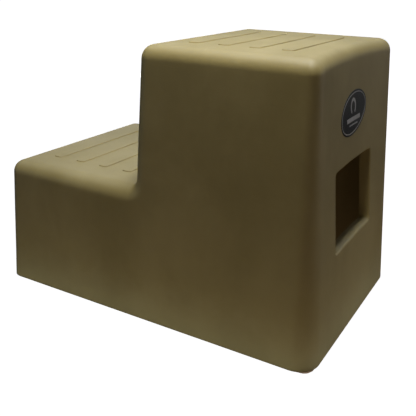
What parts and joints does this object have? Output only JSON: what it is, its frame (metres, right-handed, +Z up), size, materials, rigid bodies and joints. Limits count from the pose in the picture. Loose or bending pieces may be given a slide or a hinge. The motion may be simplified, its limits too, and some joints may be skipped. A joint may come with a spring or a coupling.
{
  "type": "mounting block",
  "caption": "Two-step mounting block for riders: one hollow khaki plastic moulding with ribbed treads, a window in its tall end and an oval label.",
  "frame": {"origin": "middle of the footprint, on the floor plane", "axes": "+X along the length towards the tall end with the window, +Y across the width, +Z up"},
  "size_m": [0.695, 0.45, 0.5098],
  "materials": {
    "body_plastic": "matte, finely textured by the mould",
    "label_adhesive": "satin",
    "label_black": "satin",
    "label_ink": "satin",
    "label_clear": "gloss"
  },
  "bodies": {
    "root": {"shell": "body_plastic", "label_adhesive": "label_adhesive", "label_film": "label_black", "label_print": "label_ink", "label_overlaminate": "label_clear"}
  },
  "joints": []
}
